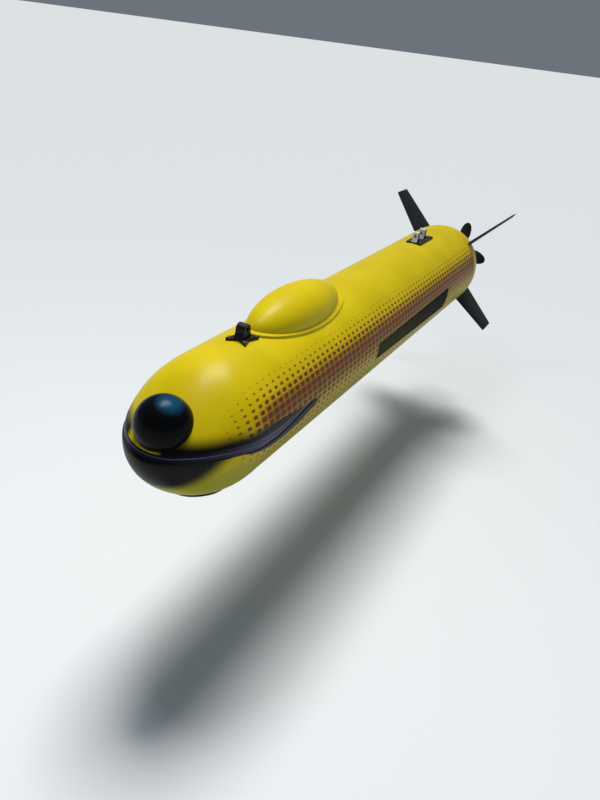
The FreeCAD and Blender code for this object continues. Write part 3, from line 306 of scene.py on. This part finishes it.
def makeGelcoat(name, setup, dotted):
    material, tree, shader = newMaterial(name)
    shader.inputs["Coat Weight"].default_value = setup["coat"]
    shader.inputs["Coat Roughness"].default_value = setup["coatRough"]
    shader.inputs["Specular IOR Level"].default_value = setup["shine"]
    surface = useGroup(tree, mottleGroup, Scale=setup["cloud"], Fine=setup["grain"])
    cloud = surface.outputs["Cloud"]
    colour = blendColour(tree, smooth(tree, cloud, *setup["deepToYellow"]), setup["deep"], setup["yellow"])
    dust = calc(tree, "MULTIPLY", surface.outputs["Dust"], setup["dustShare"])
    colour = blendColour(tree, dust, colour, setup["dust"])
    if dotted:
        # painted shade, painted sheen and painted bounce light on the chin, round the mouth and on the belly
        paintedShading = useGroup(tree, noseShadeGroup)
        # painted shade with green bounce light on the belly
        green = calc(tree, "MULTIPLY", paintedShading.outputs["PaintedBellyShade"], setup["bellyShadeShare"])
        colour = blendColour(tree, green, colour, setup["green"])
        dots = useGroup(tree, dotScreenGroup, Largest=dotScreen["largest"])
        weight = dots.outputs["Weight"]
        # painted shade along the flank where the dots are largest
        between = calc(tree, "MULTIPLY", smooth(tree, weight, *setup["coreShadeFrom"]), setup["coreShadeShare"])
        colour = blendColour(tree, between, colour, setup["between"])
        ink = blendColour(tree, smooth(tree, weight, *setup["inkFrom"]), setup["dotLight"], setup["dotDark"])
        inked = calc(tree, "MULTIPLY", dots.outputs["Mask"], setup["inkShare"])
        colour = blendColour(tree, inked, colour, ink)
        # painted purple sheen mixed into the painted shade, then laid on the chin and round the mouth
        paintedSheen = calc(tree, "MULTIPLY", paintedShading.outputs["Violet"], setup["paintedSheenShare"])
        dark = blendColour(tree, paintedSheen, setup["shade"], setup["paintedSheen"])
        colour = blendColour(tree, paintedShading.outputs["Shade"], colour, dark)
    tree.links.new(colour, shader.inputs["Base Color"])
    addRoughness(tree, shader, cloud, *setup["rough"])
    addRelief(tree, shader, surface.outputs["Grain"], 0.05, 0.0004)
    return material


def makePlain(name, dark, light, rough, grain=400.0, relief=0.15, cloud=12.0, shine=0.5, **values):
    material, tree, shader = newMaterial(name, **values)
    shader.inputs["Specular IOR Level"].default_value = shine
    surface = useGroup(tree, mottleGroup, Scale=cloud, Fine=grain)
    colour = blendColour(tree, surface.outputs["Cloud"], dark, light)
    tree.links.new(colour, shader.inputs["Base Color"])
    addRoughness(tree, shader, surface.outputs["Cloud"], rough - 0.07, rough + 0.09)
    addRelief(tree, shader, surface.outputs["Grain"], relief, 0.0006)
    return material


windowFinish = {
    "front": rgba(56, 60, 26),  # olive grey at the forward end
    "rear": rgba(10, 6, 9),  # purple black at the after end
    "line": rgba(14, 13, 14),
    "tile": 0.0345,  # metres between the lines
    "groove": 0.06,
    "stain": 0.3,
    "shine": 0.05,
    "rough": (0.6, 0.75),
}


def makeWindowFinish(setup):
    material, tree, shader = newMaterial("sonarWindowSkin")
    shader.inputs["Specular IOR Level"].default_value = setup["shine"]
    low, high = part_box("port_sonar_window")
    surface = useGroup(tree, mottleGroup, Scale=14.0, Fine=700.0)
    x, y, z = objectXYZ(tree)
    colour = blendColour(tree, smooth(tree, x, low[0], high[0]), setup["rear"], setup["front"])
    step = calc(tree, "FRACT", calc(tree, "DIVIDE", x, setup["tile"]))
    rise = calc(tree, "FRACT", calc(tree, "DIVIDE", z, setup["tile"]))
    tile = calc(tree, "MULTIPLY", smooth(tree, step, 0.0, setup["groove"]),
                smooth(tree, rise, 0.0, setup["groove"]))
    colour = blendColour(tree, tile, setup["line"], colour)
    stain = calc(tree, "MULTIPLY", surface.outputs["Cloud"], setup["stain"])
    tree.links.new(blendColour(tree, stain, colour, setup["line"]), shader.inputs["Base Color"])
    addRoughness(tree, shader, surface.outputs["Cloud"], *setup["rough"])
    addRelief(tree, shader, tile, 0.4, 0.0006)
    return material


domeFinish = {
    "black": rgba(8, 9, 11),
    # painted blue reflection on the upper side of the dome
    "blue": rgba(12, 66, 96),
    "paintedReflection": (0.1, 0.3, 0.95),  # where the painted blue reflection on the dome faces
    "paintedReflectionFrom": (0.84, 1.0),
    "shine": 0.06,
    "rough": (0.2, 0.3),
}


def makeDomeFinish(setup):
    material, tree, shader = newMaterial("domeGloss")
    shader.inputs["Specular IOR Level"].default_value = setup["shine"]
    surface = useGroup(tree, mottleGroup, Scale=6.0, Fine=300.0)
    normal = put(tree, "ShaderNodeNewGeometry").outputs["Normal"]
    # painted blue reflection on the side of the dome that faces the given direction
    facing = put(tree, "ShaderNodeVectorMath", {0: normal, 1: setup["paintedReflection"]}, operation="DOT_PRODUCT")
    paintedReflection = smooth(tree, facing.outputs["Value"], *setup["paintedReflectionFrom"])
    tree.links.new(blendColour(tree, paintedReflection, setup["black"], setup["blue"]), shader.inputs["Base Color"])
    addRoughness(tree, shader, surface.outputs["Cloud"], *setup["rough"])
    addRelief(tree, shader, surface.outputs["Grain"], 0.02, 0.0003)
    return material


bandFinish = {
    "black": rgba(15, 14, 22),
    # painted purple sheen on the band's forward stretch; the band itself is black
    "paintedSheen": rgba(38, 34, 84),
    "paintedSheenRear": (1.6, 1.9),
    "paintedSheenFront": (2.28, 2.1),
    "shine": 0.25,
    "rough": (0.3, 0.42),
}


def makeBandFinish(setup):
    material, tree, shader = newMaterial("bandSkin")
    shader.inputs["Specular IOR Level"].default_value = setup["shine"]
    surface = useGroup(tree, mottleGroup, Scale=5.0, Fine=500.0)
    x, y, z = objectXYZ(tree)
    # painted purple sheen, patchy along the band
    stretch = calc(tree, "MULTIPLY", smooth(tree, x, *setup["paintedSheenRear"]),
                   smooth(tree, x, *setup["paintedSheenFront"]))
    share = calc(tree, "MULTIPLY", stretch, surface.outputs["Cloud"])
    tree.links.new(blendColour(tree, share, setup["black"], setup["paintedSheen"]), shader.inputs["Base Color"])
    addRoughness(tree, shader, surface.outputs["Cloud"], *setup["rough"])
    addRelief(tree, shader, surface.outputs["Grain"], 0.08, 0.0004)
    return material


postFinish = {
    # painted highlight on the faces that do not face port or starboard
    "litFaceHighlight": rgba(188, 190, 196),
    # painted shade on the side faces, also the colour of the scuffs
    "dark": rgba(34, 33, 38),
    "shadedSideFaces": (0.5, 0.8),  # painted shade on the faces to port and starboard
    "scuffs": (0.6, 0.75),
    "rough": (0.35, 0.5),
}


def makePostFinish(setup):
    material, tree, shader = newMaterial("postPaintedLight")
    surface = useGroup(tree, mottleGroup, Scale=60.0, Fine=900.0)
    normal = put(tree, "ShaderNodeSeparateXYZ", {0: put(tree, "ShaderNodeNewGeometry").outputs["Normal"]})
    # painted highlight on most faces, painted shade on the port and starboard faces
    shadedSideFaces = smooth(tree, calc(tree, "ABSOLUTE", normal.outputs[1]), *setup["shadedSideFaces"])
    colour = blendColour(tree, shadedSideFaces, setup["litFaceHighlight"], setup["dark"])
    scuff = calc(tree, "MULTIPLY", smooth(tree, surface.outputs["Cloud"], *setup["scuffs"]), 0.5)
    tree.links.new(blendColour(tree, scuff, colour, setup["dark"]), shader.inputs["Base Color"])
    addRoughness(tree, shader, surface.outputs["Cloud"], *setup["rough"])
    addRelief(tree, shader, surface.outputs["Grain"], 0.1, 0.0004)
    return material


finishes = {
    "yellow": makeGelcoat("gelcoatYellow", gelcoat, False),
    "dotted": makeGelcoat("gelcoatDotted", gelcoat, True),
    "window": makeWindowFinish(windowFinish),
    "dome": makeDomeFinish(domeFinish),
    "band": makeBandFinish(bandFinish),
    # the bead's pale purple is a painted highlight along the band
    "bead": makePlain("beadPaintedHighlight", rgba(70, 66, 128), rgba(96, 92, 150), 0.45, shine=0.2),
    "post": makePostFinish(postFinish),
    "fin": makePlain("finLaminate", rgba(12, 12, 15), rgba(23, 23, 28), 0.55, grain=700.0, relief=0.2,
                     shine=0.2),
    "blade": makePlain("bladeComposite", rgba(13, 13, 16), rgba(24, 24, 29), 0.45, grain=500.0, shine=0.2),
    "chin": makePlain("chinRubber", rgba(14, 14, 15), rgba(26, 26, 28), 0.55, shine=0.2),
    "transducer": makePlain("transducerFace", rgba(24, 24, 26), rgba(40, 38, 38), 0.6),
    "lug": makePlain("lugCoating", rgba(11, 10, 12), rgba(24, 22, 26), 0.4, grain=900.0, relief=0.25,
                     shine=0.2),
    "steel": makePlain("boltSteel", rgba(120, 122, 126), rgba(168, 170, 174), 0.3, Metallic=1.0),
    "aluminium": makePlain("frameAluminium", rgba(140, 143, 148), rgba(178, 181, 186), 0.38, Metallic=1.0),
    "anodised": makePlain("pressureAnodised", rgba(62, 70, 82), rgba(84, 92, 104), 0.36, Metallic=1.0),
    "foam": makePlain("syntacticFoam", rgba(190, 150, 70), rgba(214, 178, 98), 0.8, grain=300.0, relief=0.5),
    "innerPlastic": makePlain("innerPlastic", rgba(44, 44, 48), rgba(64, 64, 68), 0.5),
    "iron": makePlain("ballastIron", rgba(48, 48, 50), rgba(74, 74, 76), 0.6, Metallic=0.8),
}
print("finishes made:", len(finishes))

nodeFinishes = {
    "dotted": ["forward_upper_shell", "forward_lower_shell", "mid_upper_shell", "mid_lower_shell",
               "aft_shell"],
    "yellow": ["tail_fairing", "blister_plinth", "blister_radome"],
    "window": ["port_sonar_window", "starboard_sonar_window"],
    "dome": ["forward_sonar_dome"],
    "band": ["mouth_band"],
    "post": ["rear_lift_eye_fore", "rear_lift_eye_aft"],
    "fin": ["fin_upper_port", "fin_upper_starboard", "fin_lower_starboard", "fin_lower_port"],
    "blade": ["propeller", "spinner"],
    "chin": ["chin_fairing"],
    "transducer": ["velocity_log", "forward_sonar_head", "port_sonar_array", "starboard_sonar_array"],
    "lug": ["front_lift_lug", "rear_lug_plate"],
    "steel": ["front_lug_bolts", "rear_lug_bolts", "propeller_shaft", "stock_upper_port",
              "stock_upper_starboard", "stock_lower_starboard", "stock_lower_port"],
    "anodised": ["pressure_tube", "pressure_dome_front", "pressure_dome_rear", "fin_actuators",
                 "thruster_motor"],
    "foam": ["foam_blocks"],
    "innerPlastic": ["battery_packs", "satellite_antenna", "radio_antenna", "fin_bushes", "shaft_bearing"],
    "iron": ["trim_ballast"],
}


def paintNodes(lists):
    painted = {name: finish for finish, names in lists.items() for name in names}
    for name, thing in nodes.items():
        for place in thing.material_slots:
            place.material = finishes[painted.get(name, "aluminium")]


paintNodes(nodeFinishes)


# pieces made here: each is one plain mesh with its place in its points

def newPiece(name, mesh, finish, body="vehicle", stands=()):
    mesh.name = name
    piece = bpy.data.objects.new(name, mesh)
    bpy.context.collection.objects.link(piece)
    mesh.materials.clear()
    mesh.materials.append(finishes[finish])
    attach(piece, body)
    if stands:
        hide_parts(*stands)
    return piece


def closeTube(work, rings):  # joins rings of points and caps both ends
    for low, high in zip(rings, rings[1:]):
        for step in range(len(low)):
            other = (step + 1) % len(low)
            work.faces.new((low[step], low[other], high[other], high[step]))
    work.faces.new(rings[0][::-1])
    work.faces.new(rings[-1])
    bmesh.ops.recalc_face_normals(work, faces=work.faces)


def finishMesh(name, work):
    mesh = bpy.data.meshes.new(name)
    work.to_mesh(mesh)
    work.free()
    return mesh


def turnedMesh(name, profile, sides, hexRadius, hexDepth):  # a turned head about +Z with a hex socket
    turns = [2 * math.pi * step / sides for step in range(sides)]
    flats = [math.cos(math.pi / 6) / math.cos((turn % (math.pi / 3)) - math.pi / 6) for turn in turns]
    top = profile[-1][1]
    outlines = [([radius] * sides, height) for radius, height in profile]
    outlines += [([hexRadius * flat for flat in flats], height) for height in (top, top - hexDepth)]
    work = bmesh.new()
    rings = []
    for radii, height in outlines:
        rings.append([work.verts.new((radius * math.cos(turn), radius * math.sin(turn), height))
                      for radius, turn in zip(radii, turns)])
    closeTube(work, rings)
    return finishMesh(name, work)


def geometryTree(name, inputs):
    tree = bpy.data.node_groups.new(name, "GeometryNodeTree")
    tree.interface.new_socket("Geometry", in_out="INPUT", socket_type="NodeSocketGeometry")
    ids = {}
    for label, kind in inputs:
        ids[label] = tree.interface.new_socket(label, in_out="INPUT", socket_type=kind).identifier
    tree.interface.new_socket("Geometry", in_out="OUTPUT", socket_type="NodeSocketGeometry")
    return tree, ids, tree.nodes.new("NodeGroupInput"), tree.nodes.new("NodeGroupOutput")


def makeFastenerTree():
    # one head stands on each point of a mesh, turned to the direction stored there
    tree, ids, given, result = geometryTree("fastenerRow", [
        ("Head", "NodeSocketObject"), ("Finish", "NodeSocketMaterial"), ("Spin", "NodeSocketFloat"),
        ("Seed", "NodeSocketInt")])
    head = put(tree, "GeometryNodeObjectInfo", {"Object": given.outputs["Head"]})
    facing = put(tree, "GeometryNodeInputNamedAttribute", {"Name": "facing"}, data_type="FLOAT_VECTOR")
    turn = put(tree, "FunctionNodeAlignRotationToVector", {"Vector": facing.outputs[0]}, axis="Z")
    chance = put(tree, "FunctionNodeRandomValue", {"Seed": given.outputs["Seed"], 3: given.outputs["Spin"]},
                 data_type="FLOAT")
    spin = put(tree, "ShaderNodeCombineXYZ", {2: chance.outputs[1]})
    full = put(tree, "FunctionNodeRotateRotation", {0: turn.outputs[0], 1: spin.outputs[0]},
               rotation_space="LOCAL")
    rows = put(tree, "GeometryNodeInstanceOnPoints", {
        "Points": given.outputs["Geometry"], "Instance": head.outputs["Geometry"],
        "Rotation": full.outputs[0]})
    real = put(tree, "GeometryNodeRealizeInstances", {0: rows.outputs[0]})
    coloured = put(tree, "GeometryNodeSetMaterial", {
        "Geometry": real.outputs[0], "Material": given.outputs["Finish"]})
    tree.links.new(coloured.outputs[0], result.inputs[0])
    return tree, ids


fastenerTree, fastenerIds = makeFastenerTree()
fasteners = {"mostSpin": math.pi, "seed": 7}


def makeFasteners(name, spots, head, finish, stands=()):  # spots are pairs of place and direction
    seed = bpy.data.meshes.new(name + "Spots")
    seed.from_pydata([place for place, facing in spots], [], [])
    layer = seed.attributes.new("facing", "FLOAT_VECTOR", "POINT")
    for number, (place, facing) in enumerate(spots):
        layer.data[number].vector = facing
    carrier = bpy.data.objects.new(name + "Carrier", seed)
    model = bpy.data.objects.new(name + "Head", head)
    for thing in (carrier, model):
        bpy.context.collection.objects.link(thing)
    modifier = carrier.modifiers.new("fasteners", "NODES")
    modifier.node_group = fastenerTree
    modifier[fastenerIds["Head"]] = model
    modifier[fastenerIds["Finish"]] = finishes[finish]
    modifier[fastenerIds["Spin"]] = fasteners["mostSpin"]
    modifier[fastenerIds["Seed"]] = fasteners["seed"]
    bpy.context.view_layer.update()
    made = carrier.evaluated_get(bpy.context.evaluated_depsgraph_get())
    mesh = bpy.data.meshes.new_from_object(made)
    for thing in (carrier, model):
        bpy.data.objects.remove(thing)
    print(name, len(spots), "fasteners")
    return newPiece(name, mesh, finish, stands=stands)


shellScrews = {
    "hullRadius": 0.350,
    "perRing": 24,
    "offSeam": 0.018,
    "seams": [  # shell ahead, shell behind, sides of the joint that have screws
        ("forward_upper_shell", "mid_upper_shell", (-1, 1)),
        ("mid_upper_shell", "aft_shell", (-1, 1)),
        ("aft_shell", "tail_fairing", (1,)),
    ],
    "head": [(0.0050, -0.0020), (0.0050, 0.0002), (0.0044, 0.0006)],  # radius and height
    "sides": 12,
    "socket": (0.0024, 0.0014),  # radius and depth
}


def makeShellScrews(setup):
    radius = setup["hullRadius"]
    spots = []
    for ahead, behind, sides in setup["seams"]:
        seam = (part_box(ahead)[0][0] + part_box(behind)[1][0]) / 2
        for side in sides:
            for step in range(setup["perRing"]):
                turn = 2 * math.pi * (step + 0.5) / setup["perRing"]
                facing = (0.0, math.cos(turn), math.sin(turn))
                place = (seam + side * setup["offSeam"], facing[1] * radius, facing[2] * radius)
                spots.append((place, facing))
    head = turnedMesh("shellScrewHead", setup["head"], setup["sides"], *setup["socket"])
    return makeFasteners("shellScrews", spots, head, "yellow")


radomeScrews = {
    "count": 36,
    "inset": 0.014,
    "rise": 0.362,  # radius of the plinth's top about the hull's axis
    "head": [(0.0042, -0.0015), (0.0042, 0.0006), (0.0036, 0.0012)],
    "sides": 12,
    "socket": (0.0020, 0.0010),
}


def makeRadomeScrews(setup):
    low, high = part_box("blister_plinth")
    middle = (low[0] + high[0]) / 2
    long = (high[0] - low[0]) / 2 - setup["inset"]
    wide = (high[1] - low[1]) / 2 - setup["inset"]
    rise = setup["rise"]
    spots = []
    for step in range(setup["count"]):
        turn = 2 * math.pi * (step + 0.5) / setup["count"]
        y = wide * math.sin(turn)
        z = math.sqrt(rise ** 2 - y * y)
        spots.append(((middle + long * math.cos(turn), y, z), (0.0, y / rise, z / rise)))
    head = turnedMesh("radomeScrewHead", setup["head"], setup["sides"], *setup["socket"])
    return makeFasteners("radomeScrews", spots, head, "yellow")


capScrews = {
    "headRadius": 0.009,
    "headHeight": 0.006,
    "bevel": 0.0012,
    "shank": 0.005,
    "sides": 24,
    "socket": (0.0048, 0.0034),
}


def makeCapScrews(name, node, columns, setup):
    low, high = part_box(node)
    radius = setup["headRadius"]
    height = setup["headHeight"]
    bevel = setup["bevel"]
    seat = high[2] - height
    profile = [
        (setup["shank"], low[2] - seat),
        (setup["shank"], 0.0),
        (radius, 0.0),
        (radius, height - bevel),
        (radius - bevel, height),
    ]
    spots = []
    for column in range(columns):
        x = low[0] + radius + (high[0] - low[0] - 2 * radius) * column / (columns - 1)
        for y in (low[1] + radius, high[1] - radius):
            spots.append(((x, y, seat), (0.0, 0.0, 1.0)))
    head = turnedMesh(name + "Model", profile, setup["sides"], *setup["socket"])
    return makeFasteners(name, spots, head, "steel", stands=[node])


makeShellScrews(shellScrews)
makeRadomeScrews(radomeScrews)
makeCapScrews("frontCapScrews", "front_lug_bolts", 2, capScrews)
makeCapScrews("rearCapScrews", "rear_lug_bolts", 3, capScrews)


mouthBead = {
    "radius": 0.0032,
    "sink": 0.0012,  # how deep it sits in the band
    "rearX": 1.55,
    "pivotX": 1.95,  # ahead of this the rib goes round the nose
    "steps": 46,
    "levels": 60,  # heights tried to find the band's middle
    "outside": 0.6,  # rays start this far from the middle plane
    "ahead": 0.8,
    "reach": 0.9,
    "easing": 3,
    "taperSteps": 6,
    "endShare": 0.25,
    "sides": 8,
}


def bandMiddle(tree, start, inward, setup):  # the middle of the band's face along one upright row of rays
    low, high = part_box("mouth_band")
    hits = []
    for step in range(setup["levels"] + 1):
        z = low[2] + (high[2] - low[2]) * step / setup["levels"]
        hit = tree.ray_cast(Vector((start.x, start.y, z)), inward)
        if hit[0] is not None and hit[3] < setup["reach"]:
            hits.append(hit)
    if not hits:
        return []
    hits.sort(key=lambda item: item[0].z)
    place, normal = hits[len(hits) // 2][:2]
    outward = normal if normal.dot(inward) < 0 else -normal
    return [(place - outward * setup["sink"], outward)]


def beadRoute(setup):  # from the starboard corner round the nose to the port corner
    mesh = nodes["mouth_band"].data
    faces = [face.vertices for face in mesh.polygons]
    tree = BVHTree.FromPolygons([point.co for point in mesh.vertices], faces)
    steps = setup["steps"]
    rear = setup["rearX"]
    pivot = setup["pivotX"]
    route = []
    for step in range(steps):
        x = rear + (pivot - rear) * step / steps
        route += bandMiddle(tree, Vector((x, -setup["outside"], 0)), Vector((0, 1, 0)), setup)
    for step in range(steps * 2 + 1):
        turn = -math.pi / 2 + math.pi * step / (steps * 2)
        outward = Vector((math.cos(turn), math.sin(turn), 0))
        route += bandMiddle(tree, Vector((pivot, 0, 0)) + outward * setup["ahead"], -outward, setup)
    for step in range(steps):
        x = pivot + (rear - pivot) * step / steps
        route += bandMiddle(tree, Vector((x, setup["outside"], 0)), Vector((0, -1, 0)), setup)
    return route


def makeMouthBead(setup):
    # a thin moulded rib along the middle of the band, laid on the band's own surface; its pale purple finish
    # is a painted highlight
    route = beadRoute(setup)
    places = [place for place, outward in route]
    for turn in range(setup["easing"]):
        eased = [(a + b * 2 + c) / 4 for a, b, c in zip(places, places[1:], places[2:])]
        places = [places[0]] + eased + [places[-1]]
    turns = [2 * math.pi * side / setup["sides"] for side in range(setup["sides"])]
    last = len(places) - 1
    work = bmesh.new()
    rings = []
    for number, place in enumerate(places):
        ahead = (places[min(number + 1, last)] - places[max(number - 1, 0)]).normalized()
        outward = (route[number][1] - ahead * route[number][1].dot(ahead)).normalized()
        across = ahead.cross(outward)
        taper = min(number, last - number, setup["taperSteps"]) / setup["taperSteps"]
        radius = setup["radius"] * (setup["endShare"] + (1 - setup["endShare"]) * taper)
        rings.append([work.verts.new(place + (outward * math.cos(turn) + across * math.sin(turn)) * radius)
                      for turn in turns])
    closeTube(work, rings)
    for face in work.faces:
        face.smooth = True
    return newPiece("mouthBead", finishMesh("mouthBead", work), "bead")


makeMouthBead(mouthBead)
print("pieces made")

# camera, lights and floor

cameraSetup = {
    "place": (4.79675, 1.77135, 1.8781),
    "forward": (-0.8104, -0.3656, -0.4578),
    "up": (-0.3590, -0.3077, 0.8812),
    "lens": 33.75,
    "sensor": 36,
    "clipEnd": 100,
}


def makeCamera(setup):
    data = bpy.data.cameras.new("surveyCamera")
    data.lens = setup["lens"]
    data.sensor_width = setup["sensor"]
    data.clip_end = setup["clipEnd"]
    camera = bpy.data.objects.new("surveyCamera", data)
    bpy.context.collection.objects.link(camera)
    forward = Vector(setup["forward"]).normalized()
    right = forward.cross(Vector(setup["up"])).normalized()
    up = right.cross(forward)
    turn = Matrix((right, up, -forward)).transposed().to_4x4()
    camera.matrix_world = Matrix.Translation(setup["place"]) @ turn
    bpy.context.scene.camera = camera


lightSetup = {
    "sun": {"place": (-3.42, -1.44, 8.19), "target": (0, 0, 0), "strength": 2.9, "angle": 24,
            "colour": (1.0, 0.98, 0.93)},
    "lamp": {"place": (1.75, -0.95, 4.1), "target": (2.1, 0.0, 0.3), "watts": 58, "size": 0.9,
             "colour": (0.95, 0.97, 1.0)},
    "sky": (0.62, 0.72, 0.82, 1),
    "skyStrength": 0.24,
    "floorLevel": -1.35,
    "floorSize": 400,
    "floor": rgba(222, 226, 230),
    "floorRough": 0.9,
}


def addLamp(name, kind, setup, energy):
    data = bpy.data.lights.new(name, kind)
    data.energy = energy
    data.color = setup["colour"]
    lamp = bpy.data.objects.new(name, data)
    bpy.context.collection.objects.link(lamp)
    lamp.location = setup["place"]
    reach = Vector(setup["target"]) - Vector(setup["place"])
    lamp.rotation_euler = reach.to_track_quat("-Z", "Y").to_euler()
    return data


def makeLights(setup):
    sun = addLamp("softSun", "SUN", setup["sun"], setup["sun"]["strength"])
    sun.angle = math.radians(setup["sun"]["angle"])
    lamp = addLamp("noseSoft", "AREA", setup["lamp"], setup["lamp"]["watts"])
    lamp.size = setup["lamp"]["size"]
    world = bpy.data.worlds.new("studio")
    world.use_nodes = True
    world.node_tree.nodes["Background"].inputs["Color"].default_value = setup["sky"]
    world.node_tree.nodes["Background"].inputs["Strength"].default_value = setup["skyStrength"]
    bpy.context.scene.world = world
    bpy.context.scene.view_settings.view_transform = "Standard"


def makeFloor(setup):
    half = setup["floorSize"] / 2
    corners = [(x * half, y * half, setup["floorLevel"]) for x, y in ((-1, -1), (1, -1), (1, 1), (-1, 1))]
    mesh = bpy.data.meshes.new("studioFloor")
    mesh.from_pydata(corners, [], [(0, 1, 2, 3)])
    material, tree, shader = newMaterial("studioFloor", Roughness=setup["floorRough"])
    shader.inputs["Base Color"].default_value = setup["floor"]
    mesh.materials.append(material)
    floor = bpy.data.objects.new("studioFloor", mesh)
    bpy.context.collection.objects.link(floor)


makeCamera(cameraSetup)
makeLights(lightSetup)
makeFloor(lightSetup)
print("camera, lights and floor made")
